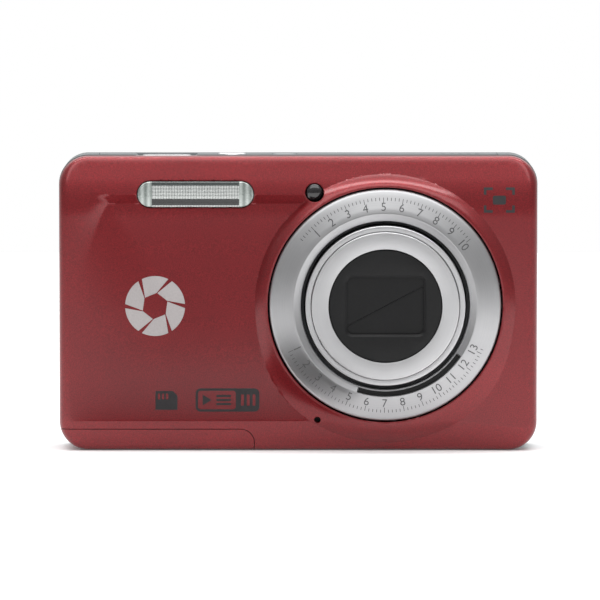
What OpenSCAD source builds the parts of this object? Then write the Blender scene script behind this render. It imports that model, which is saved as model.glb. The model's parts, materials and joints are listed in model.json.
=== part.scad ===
// Slim compact digital camera with a retracting zoom lens.
// Millimetres. Origin: centre of the footprint, on the base plane.
// The lens faces -Y, the screen faces +Y, Z is up.

/* [Case] */
// width of the case
case_w = 91.4; // [85:0.1:100]
// height of the case without its buttons
case_h = 56.3; // [50:0.1:62]
// corner radius seen from the front
corner_r = 5.6; // [3:0.1:8]
// y of the flat front
front_y = -6.9; // [-8:0.1:-6]
// y of the flat back
back_y = 11; // [10:0.1:12]
// y of the seam between the front cover and the rear cover
seam_y = -1; // [-2:0.1:0]
// thickness of the cover walls
wall = 0.9; // [0.7:0.05:1.2]
// height where the front starts to lean back towards the top
upper_crease = 48; // [44:0.1:52]
// height where the front starts to lean back towards the base
lower_crease = 5.7; // [3:0.1:9]
// how far the front cover stands inside the rear cover's outline
cover_step = 0.15; // [0:0.05:0.4]

/* [Lens] */
// lens axis, to the right of the middle
lens_x = 16.55; // [10:0.05:22]
// lens axis, above the base
lens_z = 28; // [24:0.1:32]
// outer radius of the trim ring
ring_r = 22.1; // [19:0.1:24]
// foot radius of the raised boss round the ring
boss_r = 26; // [23:0.1:28]
// how far the boss stands out of the front
boss_rise = 1.2; // [0:0.1:2]
// outer radius of the outer barrel
outer_r = 15.2; // [13:0.05:16]
// outer radius of the front barrel
inner_r = 14.05; // [12:0.05:15]
// y of the front barrel's face when the lens is retracted
face_y = -11.45; // [-12:0.05:-11]
// width of the lens window
window_w = 14.6; // [10:0.1:16]
// height of the lens window
window_h = 10.8; // [8:0.1:12]
// slope of the line where the two barrier blades meet, degrees
blade_slope = 27.8; // [0:0.1:45]
// turn that opens a barrier blade, degrees
blade_turn = 29; // [20:1:40]

/* [Battery door] */
// height of the door's lip on the front
door_top = 4.1; // [3:0.1:6]
// x of the door's inner end
door_end = -8.4; // [-14:0.1:-4]
// gap round the door
door_gap = 0.15; // [0.1:0.05:0.3]

/* [Screen] */
// left edge of the screen glass, seen from the front
screen_x0 = -15.6; // [-20:0.1:-12]
// right edge of the screen glass
screen_x1 = 42.2; // [38:0.1:43]
// lower edge of the screen glass
screen_z0 = 5.2; // [4:0.1:8]
// upper edge of the screen glass
screen_z1 = 51.2; // [48:0.1:53]

/* [Controls] */
// x of the four-way pad's centre
pad_x = -30.5; // [-34:0.1:-27]
// z of the four-way pad's centre
pad_z = 26; // [20:0.1:32]
// radius of the four-way ring
pad_r = 9.5; // [8:0.1:11]
// radius of the round rear buttons
key_r = 2.6; // [2:0.1:3.5]
// clearance round every button
key_gap = 0.15; // [0.1:0.05:0.3]

/* [Show] */
// which sub-part to draw

/* [Hidden] */
$fn = 96;
half_w = case_w / 2;
big = 200;
front_edge_r = 2;
back_edge_r = 3.5;
back_top_r = 2.5;
top_lean_y = front_y + 2.6;
base_lean_y = front_y + 1.3;
flash_x = [-30.6, -8.5];
flash_z = [46.55, 51.4];
lamp_x = 3.1;
lamp_z = 49.3;
mic_x = 3.65;
mic_z = 6;
top_y = [seam_y + 0.08, 6.5];
top_x = 38;
shutter_x = -25.15;
power_x = -12.65;
mode_x = -2.6;
top_key_y = 2.4;
hinge_x = door_end - 0.9;
hinge_z = 0.9;
door_y = [-7.2, 7];
tripod_x = 1;
tripod_y = 3.4;
port_z = [17.4, 28.4];
port_y = [0.8, 6.6];
port_pin_x = half_w - 0.3;
chassis_y = [5.25, 5.9];
pivot_r = 12;
pivot_a = 348;
gear_y = [2.5, 4.3];
gear_r = 18;
pinion_r = 3;
pinion_a = -42;
pinion_x = lens_x + (gear_r + pinion_r) * cos(pinion_a);
pinion_z = lens_z + (gear_r + pinion_r) * sin(pinion_a);
post_angles = [10, 100, 220];
rod_r = 11.5;
rod_angles = [60, 240];
key_back = 9.4;
key_front = back_y + 0.35;
rocker_z = 48.5;
rocker_pin_y = 9.75;
spider_y = 9.4;
key_spots = [[-38.5, 39.5], [-38.5, 12.5], [-22.5, 12.5]];
bottom_screws = [14, 38];
side_screw_y = 3.6;
left_screw_z = 30;
right_screw_z = 42;

// ---- shared shapes ----

module box(x, y, z) {
    translate([x[0], y[0], z[0]]) cube([x[1] - x[0], y[1] - y[0], z[1] - z[0]]);
}

// rounded rectangle in the drawing plane, made of squares and true circles
module round_rect(a, b, r) {
    translate([a[0] + r, b[0]]) square([a[1] - a[0] - 2 * r, b[1] - b[0]]);
    translate([a[0], b[0] + r]) square([a[1] - a[0], b[1] - b[0] - 2 * r]);
    for (p = [a[0] + r, a[1] - r], q = [b[0] + r, b[1] - r]) translate([p, q]) circle(r);
}

// a drawing in x and z, extruded from one y to another
module along_y(y) {
    translate([0, y[1], 0]) rotate([90, 0, 0]) linear_extrude(y[1] - y[0]) children();
}

// a drawing in y and z, extruded from one x to another
module along_x(x) {
    translate([x[0], 0, 0]) rotate([90, 0, 90]) linear_extrude(x[1] - x[0]) children();
}

// a drawing in x and y, extruded from one z to another
module along_z(z) {
    translate([0, 0, z[0]]) linear_extrude(z[1] - z[0]) children();
}

module rod_y(x, z, r, y) {
    translate([x, y[1], z]) rotate([90, 0, 0]) cylinder(r = r, h = y[1] - y[0]);
}

module rod_z(x, y, r, z) {
    translate([x, y, z[0]]) cylinder(r = r, h = z[1] - z[0]);
}

module rod_x(y, z, r, x) {
    translate([x[0], y, z]) rotate([0, 90, 0]) cylinder(r = r, h = x[1] - x[0]);
}

// local frame on the lens axis: local z points out of the lens, so y = -local z
module at_lens() {
    translate([lens_x, 0, lens_z]) rotate([90, 0, 0]) children();
}

module lens_disc(r, y) {
    rod_y(lens_x, lens_z, r, y);
}

module lens_tube(ro, ri, y) {
    difference() {
        lens_disc(ro, y);
        lens_disc(ri, [y[0] - 1, y[1] + 1]);
    }
}

// biconvex glass on the lens axis, r = edge radius, bend = radius of both faces
module glass(r, y, bend) {
    half = (y[1] - y[0]) / 2;
    at_lens() translate([0, 0, -(y[0] + y[1]) / 2]) rotate_extrude() intersection() {
        translate([0, -half]) square([r, 2 * half]);
        translate([0, half - bend]) circle(bend, $fn = 400);
        translate([0, bend - half]) circle(bend, $fn = 400);
    }
}

module teeth(count, root, tip, root_w, tip_w) {
    circle(root);
    for (i = [0 : count - 1]) {
        rotate(i * 360 / count)
            polygon([[root - 0.2, -root_w / 2], [tip, -tip_w / 2],
                     [tip, tip_w / 2], [root - 0.2, root_w / 2]]);
    }
}

// ---- the case's outer form, d = inset everywhere, s = extra inset of the front outline ----

module side_profile(d) {
    intersection() {
        polygon([
            [big, d], [base_lean_y + 0.5 + d, d], [base_lean_y + d, d + 0.5], [front_y + d, lower_crease],
            [front_y + d, upper_crease], [top_lean_y + d, case_h - 0.6 - d],
            [top_lean_y + 0.6 + d, case_h - d], [big, case_h - d]
        ]);
        round_rect([-20, back_y - d], [d, case_h - d], back_top_r - d);
    }
}

module plan_profile(d) {
    intersection() {
        round_rect([-half_w + d, half_w - d], [front_y + d, 30], front_edge_r - d / 2);
        round_rect([-half_w + d, half_w - d], [-20, back_y - d], back_edge_r - d);
    }
}

module form(d, s = 0) {
    intersection() {
        along_y([front_y - 1, back_y + 1])
            round_rect([-half_w + d + s, half_w - d - s], [d + s, case_h - d - s], corner_r - d - s);
        along_x([-half_w - 1, half_w + 1]) side_profile(d);
        along_z([-1, case_h + 1]) plan_profile(d);
    }
}

// ---- openings shared by the covers and the pieces that fill them ----

module flash_outline(g) {
    round_rect([flash_x[0] - g, flash_x[1] + g], [flash_z[0] - g, flash_z[1] + g], 2.42 + g);
}

module door_outline(g) {
    translate([-60, -2]) square([60 + door_end - 2.6, 2 + door_top + g]);
    translate([door_end - 2.6, 1.5]) circle(2.6 + g);
    translate([-60, hinge_z]) square([60 + door_end + g, 0.6]);
    translate([hinge_x, hinge_z]) circle(0.9 + g);
    translate([-60, -2]) square([60 + hinge_x, 2 + hinge_z]);
}

module door_cut() {
    along_y([-9, door_y[1] + door_gap]) door_outline(door_gap);
}

module port_cut() {
    box([half_w - 2, half_w + 1], [port_y[0] - 0.15, port_y[1]], [port_z[0] - 0.15, port_z[1] + 0.15]);
    rod_z(port_pin_x, port_y[1], 0.45, [port_z[0] - 0.15, port_z[1] + 0.15]);
}

module screw_cuts() {
    for (x = bottom_screws) {
        rod_z(x, 3, 1.4, [-1, 0.65]);
        rod_z(x, 3, 0.8, [-1, 2]);
    }
    rod_x(side_screw_y, left_screw_z, 1.4, [-half_w - 1, -half_w + 0.65]);
    rod_x(side_screw_y, left_screw_z, 0.8, [-half_w - 1, -half_w + 2]);
    rod_x(side_screw_y, right_screw_z, 1.4, [half_w - 0.65, half_w + 1]);
    rod_x(side_screw_y, right_screw_z, 0.8, [half_w - 2, half_w + 1]);
}

module rocker_outline(g) {
    round_rect([pad_x - 8 - g, pad_x + 8 + g], [rocker_z - 2.5 - g, rocker_z + 2.5 + g], 2.3 + g);
}

module shutter_outline(g) {
    round_rect([shutter_x - 4.75 - g, shutter_x + 4.75 + g],
               [top_key_y - 2.75 - g, top_key_y + 2.75 + g], 2.7 + g);
}

// ---- case ----

module front_cover() color([0.55, 0.12, 0.14]) {
    difference() {
        union() {
            intersection() {
                form(0, cover_step);
                box([-big, big], [-big, seam_y], [-big, big]);
            }
            intersection() {
                at_lens() {
                    translate([0, 0, -front_y]) cylinder(r1 = boss_r, r2 = boss_r - 3.3, h = boss_rise);
                    translate([0, 0, 4.6]) cylinder(r = boss_r, h = -front_y - 4.6);
                }
                box([-big, big], [-big, seam_y], [0.5, case_h - 1.4]);
            }
        }
        form(wall);
        lens_disc(ring_r + 0.25, [-20, 0]);
        along_y([-20, -2]) flash_outline(0.12);
        rod_y(lamp_x, lamp_z, 1.75, [-20, -2]);
        rod_y(mic_x, mic_z, 0.6, [-20, -2]);
        door_cut();
    }
}

module rear_cover() color([0.56, 0.58, 0.59]) {
    difference() {
        intersection() {
            form(0);
            box([-big, big], [seam_y + 0.08, big], [-big, big]);
        }
        form(wall);
        box([-top_x - 0.1, top_x + 0.1], [-big, top_y[1] + 0.1], [50, big]);
        along_y([back_y - 0.6, big])
            round_rect([screen_x0 - 0.1, screen_x1 + 0.1], [screen_z0 - 0.1, screen_z1 + 0.1], 1.6);
        box([screen_x0 + 2, screen_x1 - 0.8], [8, big], [screen_z0 + 2.4, screen_z1 - 2.4]);
        along_y([8, big]) rocker_outline(0.2);
        rod_y(pad_x, pad_z, pad_r + key_gap, [8, big]);
        for (p = key_spots) rod_y(p[0], p[1], key_r + key_gap, [8, big]);
        rod_z(tripod_x, tripod_y, 4, [-1, 3]);
        door_cut();
        port_cut();
        screw_cuts();
        box([-big, -half_w + 2], [2.4, 8.2], [7, 12]);
    }
}

module top_cover() color([0.6, 0.62, 0.63]) {
    difference() {
        intersection() {
            form(0);
            box([-top_x, top_x], top_y, [50, big]);
        }
        form(1.3);
        along_y([-big, 5.6])
            polygon([[-31.2, case_h + 0.1], [-30.4, 55.7], [-19.9, 55.7], [-19.1, case_h + 0.1]]);
        along_z([50, 60]) shutter_outline(key_gap);
        rod_z(power_x, top_key_y, 2.65 + key_gap, [50, 60]);
        rod_z(mode_x, top_key_y, 2.4 + key_gap, [50, 60]);
        for (i = [-2 : 2]) rod_z(31 + i * 1.6, top_key_y, 0.45, [50, 60]);
    }
}

module chassis() color([0.2, 0.2, 0.22]) {
    difference() {
        union() {
            along_y(chassis_y) round_rect([-43, 43.4], [1.5, 51.4], 4.2);
            box([-8, 9.5], [-4.1, 5.5], [1.1, 6.8]);
            for (y = [-4.1, 4.9]) {
                box([-10, -8.4], [y, y + 0.8], [0.3, 4.2]);
                box([-8.5, -7.9], [y, y + 0.8], [1.2, 4.2]);
            }
            for (x = bottom_screws) box([x - 1.8, x + 1.8], [1.2, 5.5], [1.1, 5]);
            box([-44.5, -42.2], [2.2, 5.5], [left_screw_z - 1.6, left_screw_z + 1.6]);
            box([42.2, 44.5], [2.2, 5.5], [right_screw_z - 1.6, right_screw_z + 1.6]);
        }
        box([-50, -10.05], [5, 6.5], [0, 4.6]);
        box([-10.1, -8], [5.75, 6.5], [0, 4.6]);
        box([lens_x - 6, lens_x + 6], [5, 6.5], [lens_z - 5.2, lens_z + 5.2]);
        rod_z(tripod_x, tripod_y, 3.95, [0, 7]);
        rod_z(tripod_x, tripod_y, 4.4, [6.8, 7.6]);
        rod_y(hinge_x, hinge_z, 0.35, [-5, 6]);
        for (x = bottom_screws) rod_z(x, 3, 0.74, [1, 4.2]);
        rod_x(side_screw_y, left_screw_z, 0.74, [-46, -41.5]);
        rod_x(side_screw_y, right_screw_z, 0.74, [41.5, 46]);
    }
}

module screw() {
    cylinder(r1 = 1.3, r2 = 1.3, h = 0.3);
    translate([0, 0, 0.3]) cylinder(r1 = 1.3, r2 = 0.7, h = 0.3);
    cylinder(r = 0.7, h = 3.8);
}

module case_screws() color([0.75, 0.76, 0.78]) {
    difference() {
        union() {
            for (x = bottom_screws) translate([x, 3, 0.03]) screw();
            translate([-half_w + 0.03, side_screw_y, left_screw_z]) rotate([0, 90, 0]) screw();
            translate([half_w - 0.03, side_screw_y, right_screw_z]) rotate([0, -90, 0]) screw();
        }
        for (x = bottom_screws, a = [0, 90])
            translate([x, 3, 0]) rotate([0, 0, a]) box([-0.8, 0.8], [-0.13, 0.13], [-1, 0.25]);
        for (a = [0, 90]) {
            translate([-half_w, side_screw_y, left_screw_z])
                rotate([a, 0, 0]) box([-1, 0.25], [-0.8, 0.8], [-0.13, 0.13]);
            translate([half_w, side_screw_y, right_screw_z])
                rotate([a, 0, 0]) box([-0.25, 1], [-0.8, 0.8], [-0.13, 0.13]);
        }
    }
}

module tripod_bush() color([0.8, 0.8, 0.82]) {
    difference() {
        union() {
            rod_z(tripod_x, tripod_y, 3.9, [0.02, 7.3]);
            rod_z(tripod_x, tripod_y, 4.3, [6.85, 7.3]);
        }
        rod_z(tripod_x, tripod_y, 2.6, [-1, 5.6]);
        translate([tripod_x, tripod_y, -0.38]) cylinder(r1 = 3.4, r2 = 2.6, h = 0.8);
    }
}

module strap_lug() color([0.7, 0.71, 0.73]) {
    box([-half_w + 1.9, -half_w + 2.5], [2.5, 7.9], [7.1, 11.9]);
    along_z([7.1, 11.9]) round_rect([-half_w - 0.15, -half_w + 2.5], [4.2, 5.15], 0.45);
}

module port_cover() color([0.5, 0.52, 0.53]) {
    difference() {
        union() {
            box([half_w - 0.85, half_w], port_y, port_z);
            rod_z(port_pin_x, port_y[1], 0.3, port_z);
        }
        box([half_w - 0.2, half_w + 1], [port_y[0] - 1, port_y[0] + 0.9], [21.4, 24.4]);
    }
}

module usb_socket() color([0.75, 0.75, 0.77]) {
    difference() {
        along_x([38.6, 44.5]) round_rect([2.2, 5.1], [19, 26.8], 0.8);
        along_x([39.2, 45]) round_rect([2.5, 4.8], [19.3, 26.5], 0.6);
    }
    box([39, 43.2], [3.4, 3.9], [20.4, 25.4]);
}

// ---- lens ----

module lens_ring() color([0.72, 0.72, 0.73]) {
    difference() {
        at_lens() rotate_extrude()
            polygon([[16.05, 7], [ring_r, 7], [ring_r, 7.9], [ring_r - 0.4, 8.2], [17.4, 9.8], [16.05, 9]]);
        at_lens() rotate([0, 0, 252]) rotate_extrude(angle = 74)
            translate([16.35, 8.7]) square([1, 2]);
    }
}

module lens_housing() color([0.15, 0.15, 0.16]) {
    difference() {
        union() {
            lens_disc(17.7, [-6.9, 2.2]);
            lens_disc(21.8, [-6.9, -6.1]);
            for (a = post_angles) {
                at_lens() rotate([0, 0, a]) {
                    box([17, 21.5], [-1.5, 1.5], [-2.2, -1]);
                    box([19, 21.5], [-1.5, 1.5], [-5.2, -1]);
                }
            }
        }
        lens_disc(16.6, [-8, 3]);
    }
}

module cam_ring() color([0.25, 0.25, 0.27]) {
    difference() {
        union() {
            lens_disc(16.4, [-6.7, gear_y[1]]);
            at_lens() rotate([0, 0, pinion_a]) translate([0, 0, -gear_y[1]])
                linear_extrude(gear_y[1] - gear_y[0]) teeth(72, 17.4, 18.4, 0.8, 0.3);
        }
        lens_disc(15.5, [-8, 6]);
    }
}

module zoom_pinion() color([0.85, 0.83, 0.75]) {
    translate([pinion_x, 0, pinion_z]) rotate([90, 0, 0]) {
        rotate([0, 0, pinion_a + 180 + 15]) translate([0, 0, -4.2]) linear_extrude(1.6)
            teeth(12, 2.4, 3.35, 0.75, 0.3);
        translate([0, 0, -4.7]) cylinder(r = 0.6, h = 5.7);
    }
}

module zoom_gearbox() color([0.18, 0.18, 0.2]) {
    difference() {
        along_y([-5.6, 1.9]) round_rect([28.5, 43.4], [6.6, 18.2], 1);
        lens_disc(18.05, [-10, 5]);
        rod_y(pinion_x, pinion_z, 0.66, [-1.2, 5]);
    }
}

module zoom_motor() color([0.72, 0.72, 0.74]) {
    rod_z(40, -2.5, 3.2, [18.4, 33]);
    rod_z(40, -2.5, 1.2, [33, 33.8]);
}

module barrel_outer() color([0.78, 0.77, 0.75]) {
    difference() {
        lens_disc(outer_r, [face_y + 0.85, 3.2]);
        lens_disc(inner_r + 0.1, [-20, 5]);
        lens_disc(14.35, [face_y + 1.55, 5]);
    }
}

module barrel_front() color([0.78, 0.77, 0.75]) {
    difference() {
        lens_disc(inner_r, [face_y, 1.8]);
        lens_disc(10.8, [-20, 5]);
        lens_disc(13.45, [face_y + 0.6, 5]);
    }
}

module front_cap() color([0.05, 0.05, 0.06]) {
    difference() {
        union() {
            lens_disc(10.72, [face_y + 0.25, face_y + 0.8]);
            lens_disc(12.5, [face_y + 0.65, face_y + 0.8]);
        }
        along_y([-20, 0]) translate([lens_x, lens_z])
            round_rect([-window_w / 2, window_w / 2], [-window_h / 2, window_h / 2], 1.15);
    }
}

// flat barrier blade, drawn closed about the lens axis: the part of the window above the meeting
// line, a tail beside the window down to the pivot, trimmed to stay inside the barrel as it turns
module blade_shape() {
    px = pivot_r * cos(pivot_a);
    pz = pivot_r * sin(pivot_a);
    difference() {
        intersection() {
            circle(13.32);
            translate([px, pz]) rotate(blade_turn) translate([-px, -pz]) circle(13.32);
            union() {
                intersection() {
                    rotate(blade_slope) translate([-14, 0.04]) square([28, 14]);
                    translate([-7.9, -7]) square([15.8, 16]);
                }
                polygon([[5, 2.8], [7.6, 4.1], [8, 3.6], [8.3, 1.5], [10.6, -2.9],
                         [12.9, -2.2], [13, 4], [9, 8], [5, 8]]);
                translate([px, pz]) circle(1.2);
            }
        }
        translate([px, pz]) circle(0.5);
    }
}

module blade_upper() color([0.13, 0.13, 0.14]) {
    along_y([face_y + 0.9, face_y + 1.12]) translate([lens_x, lens_z]) blade_shape();
}

module blade_lower() color([0.13, 0.13, 0.14]) {
    along_y([face_y + 1.2, face_y + 1.42]) translate([lens_x, lens_z]) rotate(180) blade_shape();
}

module front_lens_frame() color([0.1, 0.1, 0.11]) {
    difference() {
        union() {
            lens_disc(13.3, [-9.95, -9.3]);
            lens_tube(13.3, 12.6, [-9.95, -6]);
            lens_disc(7.6, [-9.4, -6]);
            for (s = [0, 180])
                at_lens() rotate([0, 0, pivot_a + s]) translate([pivot_r, 0, 9.9])
                    cylinder(r = 0.45, h = 0.72);
        }
        lens_disc(6.25, [-20, -5]);
    }
}

module front_lens() color([0.55, 0.65, 0.75]) glass(6.2, [-9, -6.2], 16);

module zoom_lens_frame() color([0.12, 0.12, 0.13]) {
    difference() {
        union() {
            lens_disc(13.1, [-5.3, -4.6]);
            lens_disc(6.3, [-5.3, -2.7]);
        }
        lens_disc(5.05, [-8, 0]);
    }
}

module zoom_lens() color([0.55, 0.65, 0.75]) glass(5, [-4.9, -3], 15);

module focus_frame() color([0.12, 0.12, 0.13]) {
    difference() {
        union() {
            lens_disc(5.6, [-1.4, 0.6]);
            for (a = rod_angles) at_lens() rotate([0, 0, a]) box([4.5, 12.4], [-1.2, 1.2], [-0.6, 1.4]);
        }
        lens_disc(4.05, [-5, 5]);
        for (a = rod_angles) at_lens() rotate([0, 0, a]) translate([rod_r, 0, -5]) cylinder(r = 0.55, h = 10);
    }
}

module focus_lens() color([0.55, 0.65, 0.75]) glass(4, [-1.1, 0.3], 14);

module guide_rods() color([0.8, 0.8, 0.82]) {
    for (a = rod_angles) at_lens() rotate([0, 0, a]) translate([rod_r, 0, -5.22]) cylinder(r = 0.5, h = 8);
}

module image_sensor() color([0.12, 0.16, 0.22]) {
    difference() {
        box([lens_x - 5.6, lens_x + 5.6], [4.5, 5.92], [lens_z - 4.8, lens_z + 4.8]);
        box([lens_x - 3.6, lens_x + 3.6], [4, 4.8], [lens_z - 2.8, lens_z + 2.8]);
    }
}

module sensor_plate() color([0.7, 0.7, 0.72]) {
    difference() {
        along_y([5.95, 6.35]) round_rect([lens_x - 14, lens_x + 14], [lens_z - 8, lens_z + 8], 1.5);
        for (a = [-11.5, 11.5]) rod_y(lens_x + a, lens_z, 1, [5, 7]);
    }
}

// ---- electronics ----

module main_board() color([0.08, 0.3, 0.16]) {
    along_y([6.5, 7.1]) round_rect([-42, 43], [8.5, 50], 2);
    box([-6, 5], [7, 7.7], [24, 35]);
    box([8, 18], [7, 7.6], [26, 34]);
    box([-30, -20], [7, 7.6], [14, 21]);
    for (i = [0 : 5]) box([22 + i * 2.6, 23.6 + i * 2.6], [7, 7.5], [20, 22.4]);
}

module key_board() color([0.1, 0.28, 0.18]) {
    along_y([8, 8.6]) round_rect([-43.6, -17], [6, 52], 2);
    for (p = key_spots) rod_y(p[0], p[1], 1.9, [8.5, 8.85]);
    for (a = [0 : 90 : 270]) rod_y(pad_x + 6.8 * cos(a), pad_z + 6.8 * sin(a), 1.6, [8.5, 8.85]);
    rod_y(pad_x, pad_z, 1.9, [8.5, 8.85]);
    for (a = [-5.5, 5.5]) rod_y(pad_x + a, rocker_z, 1.6, [8.5, 8.85]);
}

module top_board() color([0.1, 0.28, 0.18]) {
    along_z([51.9, 52.4]) round_rect([-33, 2], [-0.6, 6.5], 0.6);
    for (x = [shutter_x, power_x, mode_x])
        box([x - 1.5, x + 1.5], [top_key_y - 1.5, top_key_y + 1.5], [52.3, 52.9]);
}

module lcd_module() color([0.16, 0.17, 0.19]) {
    box([screen_x0 + 1.2, screen_x1 - 0.6], [7.9, 10], [screen_z0 + 1.3, screen_z1 - 0.7]);
}

module screen_cover() color([0.05, 0.05, 0.07]) {
    along_y([back_y - 0.58, back_y]) round_rect([screen_x0, screen_x1], [screen_z0, screen_z1], 1.5);
}

module flash_window() color([0.85, 0.87, 0.9]) {
    difference() {
        intersection() {
            form(0.05, cover_step);
            along_y([-9, -3]) flash_outline(0);
        }
        form(1.05);
    }
}

module flash_reflector() color([0.85, 0.85, 0.87]) {
    difference() {
        along_x([-29, -10]) polygon([[-5.55, 46.9], [-4.5, 51], [-2.5, 50.4], [-1.9, 49], [-2.5, 47.4]]);
        along_x([-28.6, -10.4]) polygon([[-5.9, 47.3], [-4.9, 50.6], [-2.8, 50.1], [-2.3, 49], [-2.8, 47.7]]);
        rod_x(-3.6, 48.95, 0.95, [-30, -9]);
    }
}

module flash_tube() color([0.9, 0.9, 0.85]) rod_x(-3.6, 48.95, 0.85, [-30, -9]);

module flash_capacitor() color([0.15, 0.17, 0.3]) {
    rod_z(-6.3, -2, 3.5, [12, 40]);
    for (a = [-1.2, 1.2]) rod_z(-6.3 + a, -2, 0.3, [10.5, 12]);
}

module focus_lamp() color([0.3, 0.16, 0.08]) {
    intersection() {
        form(0.05, cover_step);
        rod_y(lamp_x, lamp_z, 1.65, [-9, -4.2]);
    }
    rod_y(lamp_x, lamp_z, 1.2, [-4.3, -2.5]);
}

module microphone() color([0.65, 0.66, 0.68]) rod_y(mic_x, mic_z, 1.7, [-5.3, -4.3]);

module speaker() color([0.2, 0.2, 0.22]) {
    difference() {
        rod_z(31, 2.2, 4.8, [51.9, 54.6]);
        rod_z(31, 2.2, 4.2, [54.2, 55]);
    }
    rod_z(31, 2.2, 1.6, [54, 54.5]);
}

// ---- battery, memory card and their door ----

module battery() color([0.25, 0.26, 0.28]) {
    difference() {
        along_z([4, 44]) round_rect([-43.4, -12.6], [-4.9, 1.1], 1.2);
        for (i = [0 : 2]) box([-26.4 + i * 3.4, -24.4 + i * 3.4], [-3.4, -0.4], [43.8, 45]);
    }
}

module battery_box() color([0.14, 0.14, 0.15]) {
    difference() {
        box([-44.2, -11.8], [-5.65, 1.85], [5.6, 45.7]);
        box([-43.75, -12.3], [-5.2, 1.35], [4, 45.1]);
    }
}

module battery_contacts() color([0.85, 0.7, 0.35]) {
    for (i = [0 : 2]) box([-26 + i * 3.4, -24.8 + i * 3.4], [-3, -0.8], [43.95, 45.05]);
}

module battery_latch() color([0.75, 0.45, 0.12]) {
    box([-11.7, -10.4], [-3.1, -0.4], [3, 9.5]);
    box([-13.8, -11.6], [-3.1, -0.4], [3, 3.8]);
}

module memory_card() color([0.1, 0.14, 0.3]) {
    along_y([2.6, 4.7])
        polygon([[-40, 4.6], [-16, 4.6], [-16, 36.6], [-36, 36.6], [-40, 32.6]]);
}

module card_socket() color([0.7, 0.71, 0.73]) {
    difference() {
        box([-41, -15], [2.2, 5.1], [10, 38]);
        box([-40.4, -15.6], [2.45, 4.85], [9, 37.6]);
    }
}

module battery_door() color([0.55, 0.12, 0.14]) {
    difference() {
        intersection() {
            form(0, cover_step);
            along_y(door_y) door_outline(0);
        }
        form(1);
        box([-12, 0], [-4.3, 5.9], [-1, 6]);
    }
    box([-26, -14], [-4, -3.35], [0.9, 2.6]);
    box([-26, -14], [-3.4, -2.7], [1.95, 2.6]);
    box([-26, -14], [4.85, 5.5], [0.9, 2.6]);
    box([-26, -14], [4.2, 4.9], [1.95, 2.6]);
}

module door_carrier() color([0.7, 0.71, 0.73]) {
    difference() {
        union() {
            box([-27, hinge_x], [-3.2, 4.7], [1.2, 1.8]);
            rod_y(hinge_x, hinge_z, 0.72, [-3.2, 4.8]);
        }
        rod_y(hinge_x, hinge_z, 0.4, [-5, 6]);
    }
}

module door_pin() color([0.8, 0.8, 0.82]) rod_y(hinge_x, hinge_z, 0.33, [-4.1, 5.7]);

// ---- controls ----

module shutter_button() color([0.85, 0.86, 0.88]) {
    along_z([54.8, 56.15]) shutter_outline(0);
    along_z([54.3, 54.9]) shutter_outline(0.7);
    rod_z(shutter_x, top_key_y, 1, [54, 54.4]);
}

module power_button() color([0.8, 0.81, 0.83]) {
    rod_z(power_x, top_key_y, 2.65, [54.8, 56.5]);
    rod_z(power_x, top_key_y, 3.2, [54.3, 54.9]);
    rod_z(power_x, top_key_y, 1, [53.5, 54.4]);
}

module mode_button() color([0.8, 0.81, 0.83]) {
    rod_z(mode_x, top_key_y, 2.4, [54.8, 56.3]);
    rod_z(mode_x, top_key_y, 3, [54.3, 54.9]);
    rod_z(mode_x, top_key_y, 1, [53.5, 54.4]);
}

module zoom_rocker() color([0.62, 0.63, 0.65]) {
    along_y([9.6, back_y + 0.45]) rocker_outline(0);
    rod_z(pad_x, rocker_pin_y, 0.3, [rocker_z - 3.3, rocker_z + 3.3]);
}

module nav_gimbal() color([0.2, 0.2, 0.21]) {
    difference() {
        union() {
            rod_y(pad_x, pad_z, 5.6, [spider_y - 0.2, spider_y + 0.2]);
            rod_x(spider_y, pad_z, 0.2, [pad_x - 7, pad_x + 7]);
            rod_z(pad_x, spider_y, 0.2, [pad_z - 7, pad_z + 7]);
        }
        rod_y(pad_x, pad_z, 1.6, [9, 10]);
    }
}

module nav_ring() color([0.62, 0.63, 0.65]) {
    difference() {
        rod_y(pad_x, pad_z, pad_r, [9.9, key_front]);
        rod_y(pad_x, pad_z, 4.5, [9, 12]);
    }
}

module ok_button() color([0.7, 0.71, 0.73]) {
    rod_y(pad_x, pad_z, 4.2, [10.1, key_front - 0.05]);
    rod_y(pad_x, pad_z, 1, [9.3, 10.2]);
}

module round_key(i) {
    rod_y(key_spots[i][0], key_spots[i][1], key_r, [key_back, key_front]);
    rod_y(key_spots[i][0], key_spots[i][1], key_r + 0.5, [key_back, 10]);
}

module play_button() color([0.62, 0.63, 0.65]) round_key(0);

module display_button() color([0.62, 0.63, 0.65]) round_key(1);

module menu_button() color([0.62, 0.63, 0.65]) round_key(2);

front_cover();
rear_cover();
top_cover();
chassis();
case_screws();
tripod_bush();
strap_lug();
port_cover();
usb_socket();
lens_ring();
lens_housing();
cam_ring();
zoom_pinion();
zoom_gearbox();
zoom_motor();
barrel_outer();
barrel_front();
front_cap();
blade_upper();
blade_lower();
front_lens_frame();
front_lens();
zoom_lens_frame();
zoom_lens();
focus_frame();
focus_lens();
guide_rods();
image_sensor();
sensor_plate();
main_board();
key_board();
top_board();
lcd_module();
screen_cover();
flash_window();
flash_reflector();
flash_tube();
flash_capacitor();
focus_lamp();
microphone();
speaker();
battery();
battery_box();
battery_contacts();
battery_latch();
memory_card();
card_socket();
battery_door();
door_carrier();
door_pin();
shutter_button();
power_button();
mode_button();
zoom_rocker();
nav_gimbal();
nav_ring();
ok_button();
play_button();
display_button();
menu_button();
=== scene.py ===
import json
import math

import bmesh
import bpy
import numpy as np
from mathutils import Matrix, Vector, geometry


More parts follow.
